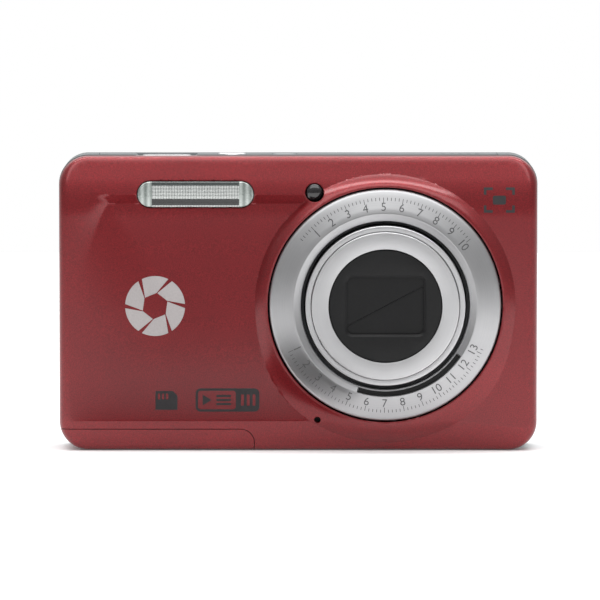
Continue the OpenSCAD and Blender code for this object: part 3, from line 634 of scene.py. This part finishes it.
def make_skin():
    """The red front as a skin: triangles over the face, then the rolled edge and the short side wall as a profile
    carried round the outline, then a thin wall behind."""
    outer = round_rect(-HALF_W, HALF_W, 0.15, TOP_Z, CORNER, 0, 22, 60)
    ahead, behind = np.roll(outer, -1, 0), np.roll(outer, 1, 0)
    along = ahead - behind
    normal = np.stack([along[:, 1], -along[:, 0]], 1)
    normal /= np.linalg.norm(normal, axis=1)[:, None]
    width = outline_inset(normal)
    edge = outer - normal * width[:, None]
    hole = circle(LENS_X, LENS_Z, BOSS_IN, 260)
    flash = stadium()
    lamp = circle(LAMP[0], LAMP[1], LAMP[2], 48)
    mic = circle(MIC[0], MIC[1], MIC[2], 32)
    rings = [circle(LENS_X, LENS_Z, r, 260) for r in
             (22.39, 22.44, 22.53, 22.62, 22.7, 22.85, 23.05, 23.3, 23.6, 23.9, 24.2, 24.5, 24.7, 24.8, 24.9, 25.1,
              25.4, 25.7, 26.0, 26.2, 26.3, 26.4, 26.5, 26.8, 27.4, 28.2)]
    lips = [stadium(g) for g in (0.03, 0.08, 0.15, 0.22, 0.3)]
    lips += [circle(LAMP[0], LAMP[1], LAMP[2] + g, 48) for g in (0.03, 0.08, 0.16, 0.25)]
    lips += [circle(MIC[0], MIC[1], MIC[2] + g, 32) for g in (0.03, 0.07, 0.12, 0.2)]
    gx, gz = np.meshgrid(np.linspace(-44.4, 44.4, 66), np.linspace(1.2, 55.6, 42))
    grid = np.stack([gx.ravel(), gz.ravel()], 1)
    tx, tz = np.meshgrid(np.linspace(-44.3, 44.3, 64), np.linspace(44.2, 55.3, 30))
    top = np.stack([tx.ravel(), tz.ravel()], 1)
    kx, kz = np.meshgrid(np.linspace(-44.2, -34.2, 44), np.linspace(28.0, 49.4, 62))
    tip = np.stack([kx.ravel(), kz.ravel()], 1)
    sx = np.linspace(STEP_LEFT + 2.4, 4.6, 90)
    rows = [np.stack([sx, np.full_like(sx, z)], 1) for z in
            (STEP_LOW - 0.5, STEP_LOW - 0.15, STEP_LOW + 0.15, STEP_HIGH - 0.15, STEP_HIGH + 0.15, STEP_HIGH + 0.5)]
    lines = [np.stack([np.linspace(a, b, 60), np.full(60, z)], 1) for z, a, b in
             ((STEP_LOW, STEP_LEFT + 2.2, FLASH[0] - 0.4), (STEP_HIGH, STEP_LEFT + 0.9, FLASH[0] - 0.4),
              (STEP_LOW, FLASH[1] + 0.4, 1.25), (STEP_HIGH, FLASH[1] + 0.4, 0.95))]
    cx = np.linspace(-44.4, 44.4, 120)
    creases = [np.stack([cx, crease_line(cx) + d], 1) for d in (-0.5, -0.14, -0.07, 0, 0.07, 0.14, 0.5)]
    fill = np.concatenate([*rings, *lips, grid, top, tip, *rows, *creases])
    safe = inside(fill, edge) & (away(fill, edge) > 0.25)
    for loop, room in ((hole, 0.02), (flash, 0.02), (lamp, 0.02), (mic, 0.02)):
        safe &= ~inside(fill, loop) & (away(fill, loop) > room)
    xy, tri = triangles([edge, hole, flash, lamp, mic], fill[safe], lines)
    face = seat(xy[:, 0], xy[:, 1], front_height(xy[:, 0], xy[:, 1]), "front")
    t = np.radians([0, 12, 24, 36, 48, 60, 72, 82, 90])[:, None]
    ring_xy = outer[None] - normal[None] * (width[None] * (1 - np.sin(t)))[..., None]
    ring_h = front_height(ring_xy[..., 0].ravel(), ring_xy[..., 1].ravel()).reshape(ring_xy.shape[:2])
    ring_h = ring_h - width[None] * (1 - np.cos(t))
    roll = seat(ring_xy[..., 0], ring_xy[..., 1], ring_h, "front")
    foot = seat(outer[:, 0], outer[:, 1], 1.0, "front")[None]
    roll = np.concatenate([roll, foot])
    k, n = roll.shape[:2]
    i, j = np.meshgrid(np.arange(k - 1), np.arange(n), indexing="ij")
    j2 = (j + 1) % n
    base = len(face)
    quads = np.stack([i * n + j, (i + 1) * n + j, (i + 1) * n + j2, i * n + j2], -1).reshape(-1, 4) + base
    points = np.concatenate([face, roll.reshape(-1, 3)])
    skin = add_mesh("front_skin", points, tri.tolist() + quads.tolist(), weld=0.004, outward=False)
    return thicken(skin, SKIN_WALL)


def door_block(grow):
    """The battery door's outline, grown all round, as a block right through the front."""
    corner = circle(DOOR_END, DOOR_TOP - 2.6, 2.6 + grow, 16, 90, -90)
    hinge = circle(*HINGE, 0.9 + grow, 14, 20, -90)
    loop = np.concatenate([[[-60, DOOR_TOP + grow]], corner, hinge, [[-9.6, -5]], [[-60, -5]]])
    return loft("door_block", [seat(*loop.T, h, "front") for h in (-0.2, 12)], ends=True)


skin = make_skin()
lip = bpy.data.objects.new("door_lip", skin.data.copy())
bpy.context.scene.collection.objects.link(lip)
carve(skin, door_block(0.13))
carve(lip, door_block(0.0), "INTERSECT")
skin.name = "front_shell"
for part in (skin, lip):
    settle(part, 0.0005, False)
    crisp(part, 15)
fit_out(skin, "case", "red_enamel", ["front_cover"])


def keep_behind(piece, y):
    """Cuts the piece at a plane across Y, keeps what lies behind and closes the cut."""
    bm = bmesh.new()
    bm.from_mesh(piece.data)
    cut = bmesh.ops.bisect_plane(bm, geom=bm.verts[:] + bm.edges[:] + bm.faces[:], plane_co=(0, y * MM, 0),
                                 plane_no=(0, 1, 0), clear_inner=True)
    edges = [g for g in cut["geom_cut"] if isinstance(g, bmesh.types.BMEdge)]
    bmesh.ops.holes_fill(bm, edges=edges, sides=0)
    bm.to_mesh(piece.data)
    bm.free()
    return piece


door = keep_behind(softened("battery_door", 0.1, 35, 1), -1.02)
door.name = "battery_door_plate"
crisp(door, 32)
fit_out(door, "door", "red_enamel", ["battery_door"])
fit_out(lip, "door", "red_enamel")

# ---------------------------------------------------------------- grey shell

for node, width in (("rear_cover", 0.14), ("top_cover", 0.1), ("port_cover", 0.12)):
    body = "flap" if node == "port_cover" else "case"
    fit_out(softened(node, width), body, "grey_shell", [node])
for node in ("strap_lug", "tripod_bush", "case_screws"):
    fit_out(softened(node, 0.05, 40, 1), "case", "steel", [node])

# ---------------------------------------------------------------- lens

AXIS = (LENS_X, LENS_Z)


def make_lens_ring():
    """The trim ring: a closed profile of radius and height about the lens axis, with an arc slot whose two rows
    drop to its floor between its end angles."""
    ends = [SLOT_FROM, SLOT_FROM + SLOT_RAMP, SLOT_TO, SLOT_TO + SLOT_RAMP]
    a = np.sort(np.concatenate([np.linspace(0, 360, 288, endpoint=False), ends]))
    slot = ease((a - SLOT_FROM) / SLOT_RAMP) * (1 - ease((a - SLOT_TO) / SLOT_RAMP))
    radii = np.array([16.05, 16.12, 16.35, 16.37, 17.33, 17.35, 17.43, 17.6, 18.6, 19.6, 20.6, 21.5, 21.62, 21.72,
                      21.85, 21.98, 22.06, 22.1])
    h = np.repeat(np.interp(radii, RING_R, RING_H)[:, None], len(a), 1)
    h[0] -= 0.07
    h[3:5] = h[3:5] * (1 - slot) + 8.72 * slot
    r = np.concatenate([radii, [22.1, 16.05]])
    h = np.concatenate([h, np.full((2, len(a)), 7.0)])
    t = np.radians(a)[None]
    return loft("lens_trim_ring", seat(r[:, None] * np.cos(t), r[:, None] * np.sin(t), h, "front", AXIS), sharp=24)


fit_out(make_lens_ring(), "case", "silver_ring", ["lens_ring"])

angle = np.radians(np.linspace(252.4, 325.6, 60))[:, None]
r, h = np.array([(16.4, 8.7), (17.3, 8.7), (17.3, 8.86), (16.4, 8.86)]).T
floor_bar = loft("ring_slot_floor", seat(r * np.cos(angle), r * np.sin(angle), h, "front", AXIS), ends=True)
fit_out(floor_bar, "case", "black_plastic")

BARRELS = {  # body: node replaced, profile of radius and height with each corner's radius
    "outer_barrel": ("barrel_outer", [(14.35, -3.2, 0.1), (15.2, -3.2, 0.1), (15.2, 10.6, 0.22), (14.15, 10.6, 0.08),
                                      (14.15, 9.9, 0.05), (14.35, 9.9, 0)]),
    "front_barrel": ("barrel_front", [(13.45, -1.8, 0.1), (14.05, -1.8, 0.1), (14.05, 11.45, 0.2), (10.8, 11.45, 0.1),
                                      (10.8, 11.22, 0), (12.7, 11.22, 0), (12.7, 10.9, 0), (13.45, 10.9, 0)]),
}
for body, (node, profile) in BARRELS.items():
    profile = np.array(profile, float)
    tube = turned(body + "_tube", round_corners(profile[:, :2], profile[:, 2], 4), "front", AXIS, 200)
    fit_out(tube, body, "silver_barrel", [node])


def make_front_cap():
    """The black disc: loops from the flange over the front face, which then slope into the window and turn back."""
    n = 4 * 17 + 4 * 6

    def round_loop(r, h):
        window = round_rect(-7.3, 7.3, -5.4, 5.4, 1.15, 0, 16, 6)
        a = np.arctan2(window[:, 1], window[:, 0])
        return seat(r * np.cos(a), r * np.sin(a), h, "front", AXIS)

    def window_loop(inset, h):
        return seat(*round_rect(-7.72, 7.72, -5.82, 5.82, 1.55, inset, 16, 6).T, h, "front", AXIS)

    t = np.linspace(0, np.pi / 2, 5)
    loops = [round_loop(12.5, 10.66), round_loop(12.5, 10.79), round_loop(10.72, 10.79), round_loop(10.72, 11.08)]
    loops += [round_loop(10.62 + 0.1 * math.cos(s), 11.08 + 0.12 * math.sin(s)) for s in t[1:]]
    loops += [window_loop(-0.12, 11.2), window_loop(0.0, 11.17), window_loop(0.06, 11.12), window_loop(0.36, 10.86),
              window_loop(0.42, 10.82), window_loop(0.42, 10.66)]
    return loft("lens_front_disc", loops, sharp=30)


fit_out(make_front_cap(), "front_barrel", "black_plastic", ["front_cap"])

# ---------------------------------------------------------------- flash, lamp

r_flash = (51.4 - 46.55) / 2
flash = cushion("flash_cover", lambda i: round_rect(-30.6, -8.5, 46.55, 51.4, r_flash, i, 16, 8),
                edge_roll(4.6, 6.34, 0.25), "front")
fit_out(flash, "case", "flash_plastic", ["flash_window"])
dome = [(0, 6.62), (0.4, 6.6), (0.8, 6.52), (1.15, 6.4), (1.45, 6.2), (1.6, 6.0), (1.65, 5.8), (1.65, 2.6), (0, 2.6)]
fit_out(turned("focus_lamp_lens", dome, "front", LAMP[:2], 64, 40), "case", "lamp_glass", ["focus_lamp"])

# ---------------------------------------------------------------- buttons on top

def key_cap(node, body, centre, side, slot, profile):
    """A push button turned from a profile of radius and height: stem, flange under the case, and cap with a dished
    top; each profile row is radius, height and corner radius."""
    rows = np.array(profile, float)
    shape = round_corners(rows[:, :2], rows[:, 2], 4)
    return fit_out(turned(body + "_cap", shape, side, centre, 72), body, slot, [node])


def pill(inset, x0=-29.9, x1=-20.4, y0=-0.35, y1=5.15):
    return round_rect(x0, x1, y0, y1, 2.7, inset, 12)


def shutter_stem(radius):
    a = np.arctan2(*(pill(0.0) - (-25.15, 2.4)).T[::-1])
    return np.stack([-25.15 + radius * np.cos(a), 2.4 + radius * np.sin(a)], 1)


shutter_loops = [seat(*loop.T, h, "top") for loop, h in (
    (shutter_stem(1.0), 54.0), (shutter_stem(1.0), 54.3), (pill(-0.7), 54.3), (pill(-0.7), 54.9), (pill(0.0), 54.9))]
shutter_loops += [seat(*pill(i).T, h, "top") for i, h in edge_roll(54.9, 56.15, 0.4)[1:]]
fit_out(loft("shutter_cap", shutter_loops, ends=True), "shutter", "bright_buttons", ["shutter_button"])
key_cap("power_button", "power", (-12.65, 2.4), "top", "bright_buttons",
        [(0, 53.5, 0), (1, 53.5, 0), (1, 54.3, 0), (3.2, 54.3, 0), (3.2, 54.9, 0), (2.65, 54.9, 0), (2.65, 56.5, 0.3),
         (1.95, 56.5, 0.4), (0, 56.32, 0)])
key_cap("mode_button", "mode", (-2.6, 2.4), "top", "grey_buttons",
        [(0, 53.5, 0), (1, 53.5, 0), (1, 54.3, 0), (3, 54.3, 0), (3, 54.9, 0), (2.4, 54.9, 0), (2.4, 56.3, 0.3),
         (1.7, 56.3, 0.4), (0, 56.12, 0)])

# ---------------------------------------------------------------- back

glass = lambda i: round_rect(-15.6, 42.2, 5.2, 51.2, 1.5, i, 10)
fit_out(cushion("screen_pane", glass, edge_roll(10.42, 11.0, 0.3), "back"), "case", "screen_glass", ["screen_cover"])
PAD = (-30.5, 26.0)
ring_profile = round_corners([(4.5, 10.25), (7.7, 10.25), (7.7, 9.9), (9.5, 9.9), (9.5, 10.95), (8.2, 11.35),
                              (5.6, 11.2), (4.5, 11.0)], [0, 0, 0, 0, 0.3, 0.6, 0.5, 0.2], 5)
fit_out(turned("four_way_ring", ring_profile, "back", PAD, 128), "ring", "grey_buttons", ["nav_ring"])
key_cap("ok_button", "ok", PAD, "back", "grey_buttons",
        [(0, 9.3, 0), (1, 9.3, 0), (1, 10.1, 0), (4.2, 10.1, 0), (4.2, 11.3, 0.35), (3.2, 11.3, 0.8), (0, 11.1, 0)])


def rocker(inset):
    return round_rect(-38.5, -22.5, 46.0, 51.0, 2.4, inset, 12)


fit_out(cushion("rocker_cap", rocker, edge_roll(9.6, 11.45, 0.45), "back"), "rocker", "grey_buttons", ["zoom_rocker"])
KEYS = {"play": (-38.5, 39.5), "display": (-38.5, 12.5), "menu": (-22.5, 12.5)}
for body, at in KEYS.items():
    key_cap(body + "_button", body, at, "back", "grey_buttons",
            [(0, KEY_BACK, 0), (3.1, KEY_BACK, 0), (3.1, 10, 0), (2.6, 10, 0), (2.6, 11.35, 0.3), (1.9, 11.35, 0.5),
             (0, 11.2, 0)])

# ---------------------------------------------------------------- printed marks


def mark(name, loops, height, side, body, ink, slot, thick=0.03, lift=0.012):
    """Flat ink inside the outlines, odd areas filled, laid a hair above the surface whose height is given."""
    every = np.concatenate(loops)
    low, high = every.min(0), every.max(0)
    gx, gy = np.meshgrid(np.arange(low[0], high[0], 0.7) + 0.35, np.arange(low[1], high[1], 0.7) + 0.35)
    grid = np.stack([gx.ravel(), gy.ravel()], 1)
    grid = grid[np.min([away(grid, l) for l in loops], 0) > 0.12]
    xy, tri = triangles(loops, grid)
    h = (height(xy[:, 0], xy[:, 1]) if callable(height) else height) + lift
    if side == "back":
        tri = tri[:, ::-1]
    piece = add_mesh(name, seat(xy[:, 0], xy[:, 1], h, side), tri.tolist(), outward=False)
    thicken(piece, thick)
    crisp(piece, 30)
    return fit_out(piece, body, slot, material=ink)


def bar_loop(x0, x1, y0, y1, r=0.2):
    return round_rect(x0, x1, y0, y1, r, 0, 4)


def iris_blades(centre, outer, inner):
    """Six equal iris leaves: each is bounded by the rim arc, two chords that just miss the middle, and even gaps."""
    leaves = []
    for k in range(6):
        a = 60 * k
        arc = circle(0, 0, outer, 16, a + 4, 52)
        tip = np.array([inner * math.cos(math.radians(a + 80)), inner * math.sin(math.radians(a + 80))])
        root = np.array([inner * math.cos(math.radians(a + 24)), inner * math.sin(math.radians(a + 24))])
        leaves.append(np.concatenate([arc, [tip], [root]]) + centre)
    return leaves


mark("iris_badge", iris_blades((-27.25, 27.7), 5.7, 2.5), front_height, "front", "case", INK_SILVER, "silver_ring",
     0.06, 0.04)
card_outline = np.array([(-27.2, 7.9), (-23.0, 7.9), (-23.0, 10.6), (-23.9, 11.5), (-27.2, 11.5)])
mark("card_mark", [card_outline] + [bar_loop(-26.75 + 0.78 * k, -26.3 + 0.78 * k, 9.9, 11.0, 0.1) for k in range(3)],
     front_height, "front", "case", INK_DARK, "black_plastic")
pill_loops = [round_rect(-19.55, -7.4, 7.55, 12.0, 0.95, 0, 6), round_rect(-19.1, -11.9, 8.0, 11.55, 0.55, 0, 6)]
pill_loops += [np.array([(-18.2, 8.75), (-16.5, 9.78), (-18.2, 10.8)])]
pill_loops += [bar_loop(-15.6, -12.8, z, z + 0.42, 0.1) for z in (8.8, 9.57, 10.34)]
pill_loops += [bar_loop(-10.9 + 1.1 * k, -10.35 + 1.1 * k, 8.7, 10.85, 0.12) for k in range(3)]
mark("video_mark", pill_loops, front_height, "front", "case", INK_DARK, "black_plastic")
brackets = []
for sx in (-1, 1):
    for sz in (-1, 1):
        corner = np.array([(0, 0), (1.7, 0), (1.7, 0.5), (0.5, 0.5), (0.5, 1.4), (0, 1.4)]) * (sx, sz)
        brackets.append(corner[::sx * sz] + (38.25 - sx * 2.95, 47.9 - sz * 2.4))
brackets.append(bar_loop(37.0, 39.5, 47.05, 48.75, 0.35))
mark("frame_mark", brackets, front_height, "front", "case", INK_DARK, "black_plastic")


def ring_face(x, z):
    """Height of the trim ring's face at a point."""
    return np.interp(np.hypot(x - LENS_X, z - LENS_Z), RING_R[3:5], RING_H[3:5])


def tick(angle, r0, r1, width):
    """A short radial bar of the scale as four corners."""
    a = math.radians(angle)
    out, side = np.array([math.cos(a), math.sin(a)]), np.array([-math.sin(a), math.cos(a)]) * width / 2
    return np.array([out * r0 - side, out * r1 - side, out * r1 + side, out * r0 + side]) + AXIS


SCALES = ((38, 144, "10 9 8 7 6 5 4 3 2 1", False), (206, 336, "1 2 3 4 5 6 7 8 9 10 11 12 13", True))
ticks = [tick(a, 19.9 if k % 5 else 19.5, 20.5, 0.12) for first, last, _, _ in SCALES
         for k, a in enumerate(np.arange(first, last, TICK_STEP))]
mark("ring_scale", ticks, ring_face, "front", "case", INK_GREY, "silver_ring", 0.02, 0.008)


def numeral(text, angle, radius, size, flip):
    """A numeral as flat letters, laid out upright, then carried round the ring: x runs along the arc, y outwards."""
    curve = bpy.data.curves.new("number", "FONT")
    curve.body, curve.size, curve.align_x, curve.align_y = text, size, "CENTER", "CENTER"
    holder = bpy.data.objects.new("number_text", curve)
    bpy.context.scene.collection.objects.link(holder)
    mesh = bpy.data.meshes.new_from_object(holder)
    bpy.data.objects.remove(holder)
    co = np.zeros(len(mesh.vertices) * 3)
    mesh.vertices.foreach_get("co", co)
    x, y = co.reshape(-1, 3)[:, 0], co.reshape(-1, 3)[:, 1]
    s = -1 if flip else 1
    a = math.radians(angle) - s * x / radius
    r = radius + s * y
    px, pz = LENS_X + r * np.cos(a), LENS_Z + r * np.sin(a)
    faces = [list(p.vertices) for p in mesh.polygons]
    return seat(px, pz, ring_face(px, pz) + 0.01, "front"), faces


def make_ring_numbers():
    """All the ring's scale numbers as one sheet of ink."""
    pts, faces = [], []
    rows = [(text, first + TICK_STEP * 5 * k, flip) for first, _, texts, flip in SCALES
            for k, text in enumerate(texts.split())]
    for text, angle, flip in rows:
        p, f = numeral(text, angle, 18.7, 2.2, flip)
        base = sum(len(q) for q in pts)
        pts.append(p)
        faces += [[base + i for i in face] for face in f]
    sheet = add_mesh("ring_numbers", np.concatenate(pts), faces, outward=False)
    thicken(sheet, 0.02)
    crisp(sheet, 30)
    return fit_out(sheet, "case", "silver_ring", material=INK_GREY)


make_ring_numbers()
SIGNS = {  # each key's sign, drawn about the key's middle
    "play": [np.array([(0.8, -0.9), (0.8, 0.9), (-0.9, 0)])],
    "display": [bar_loop(-1.1, 1.1, -0.8, 0.8), bar_loop(-0.8, 0.8, -0.5, 0.5, 0.1)],
    "menu": [bar_loop(-1, 1, d - 0.13, d + 0.13, 0.08) for d in (-0.65, 0, 0.65)],
}
for body, loops in SIGNS.items():
    mark(body + "_sign", [loop + KEYS[body] for loop in loops], KEY_FACE, "back", body, INK_DARK, "black_plastic")

# ---------------------------------------------------------------- stage

bpy.ops.mesh.primitive_circle_add(vertices=128, radius=0.6, fill_type="NGON")
floor = bpy.context.object
floor.name = "floor"
f = Finish("pale_floor", Roughness=0.9, Specular_IOR_Level=0.1, Emission_Color=(1, 1, 1, 1), Emission_Strength=0.08)
f.colour(f.blend(f.spread(f.noise(3, 2), 0, 1), (0.93, 0.93, 0.935, 1), (0.95, 0.95, 0.95, 1)))
floor.data.materials.append(f.material)

world = bpy.data.worlds.new("studio")
bpy.context.scene.world = world
world.use_nodes = True


def light_room(tree):
    """The room's light by direction: dim ahead of the object, brighter overhead and behind it, plain white where the
    camera looks straight at it."""
    def math_node(how, a, b):
        node = tree.nodes.new("ShaderNodeMath")
        node.operation = how
        for index, value in ((0, a), (1, b)):
            if isinstance(value, (int, float)):
                node.inputs[index].default_value = value
            else:
                tree.links.new(value, node.inputs[index])
        return node.outputs[0]

    def rise(value, start, end, amount):
        node = tree.nodes.new("ShaderNodeMapRange")
        node.interpolation_type = "SMOOTHSTEP"
        for key, number in zip(("From Min", "From Max", "To Min", "To Max"), (start, end, 0, amount)):
            node.inputs[key].default_value = number
        tree.links.new(value, node.inputs["Value"])
        return node.outputs["Result"]

    where = tree.nodes.new("ShaderNodeTexCoord")
    xyz = tree.nodes.new("ShaderNodeSeparateXYZ")
    tree.links.new(where.outputs["Generated"], xyz.inputs[0])
    glow = math_node("ADD", rise(xyz.outputs["Z"], 0.05, 0.75, 0.3), rise(xyz.outputs["Y"], -0.1, 0.7, 0.35))
    glow = math_node("ADD", glow, 0.28)
    path = tree.nodes.new("ShaderNodeLightPath")
    glow = math_node("MAXIMUM", glow, path.outputs["Is Camera Ray"])
    tree.links.new(glow, tree.nodes["Background"].inputs["Strength"])


world.node_tree.nodes["Background"].inputs["Color"].default_value = (1, 1, 1, 1)
light_room(world.node_tree)


def softbox(name, location, target, width, height, power):
    """A rectangular soft light that faces its target."""
    lamp = bpy.data.lights.new(name, "AREA")
    lamp.shape, lamp.size, lamp.size_y, lamp.energy = "RECTANGLE", width, height, power
    holder = bpy.data.objects.new(name, lamp)
    bpy.context.scene.collection.objects.link(holder)
    holder.location = location
    holder.rotation_euler = (Vector(target) - Vector(location)).to_track_quat("-Z", "Y").to_euler()
    return holder


softbox("key_above", (0.0, -0.45, 0.69), (0, 0, 0.03), 1.2, 0.46, 3.8)
softbox("strip_overhead", (0.0, 0.03, 0.8), (0, 0, 0.03), 0.9, 0.2, 3.8)
softbox("far_floor_light", (0.0, 0.55, 0.6), (0, 0.5, 0), 1.4, 0.3, 2.4)


def dark_card(name, corners):
    """A black card that only reflections see, as a studio flag: four corners joined by one face."""
    mesh = bpy.data.meshes.new(name)
    mesh.from_pydata(corners, [], [(0, 1, 2, 3)])
    card = bpy.data.objects.new(name, mesh)
    bpy.context.scene.collection.objects.link(card)
    card.data.materials.append(Finish(name, Base_Color=(0.005, 0.005, 0.005, 1), Roughness=1.0,
                                      Specular_IOR_Level=0.0).material)
    card.visible_camera = card.visible_diffuse = card.visible_shadow = card.visible_transmission = False
    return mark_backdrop(card)


flag = ((-0.044, -0.072), (0.008, -0.072), (0.008, -0.02), (-0.044, -0.02))
dark_card("low_flag", [(x, y, 0.001) for x, y in flag])

eye = math.radians(4.0)
reach = 1.25
aim = Vector((0.34 * MM, -FRONT * MM, 28.88 * MM))
camera = bpy.data.cameras.new("camera")
camera.sensor_width = 36
camera.lens = 36 * reach / 0.1142
camera.clip_end = 20
view = bpy.data.objects.new("camera", camera)
bpy.context.scene.collection.objects.link(view)
view.location = aim + Vector((0, -reach * math.cos(eye), reach * math.sin(eye)))
view.rotation_euler = (math.pi / 2 - eye, 0, 0)
bpy.context.scene.camera = view
bpy.context.scene.view_settings.view_transform = "Standard"
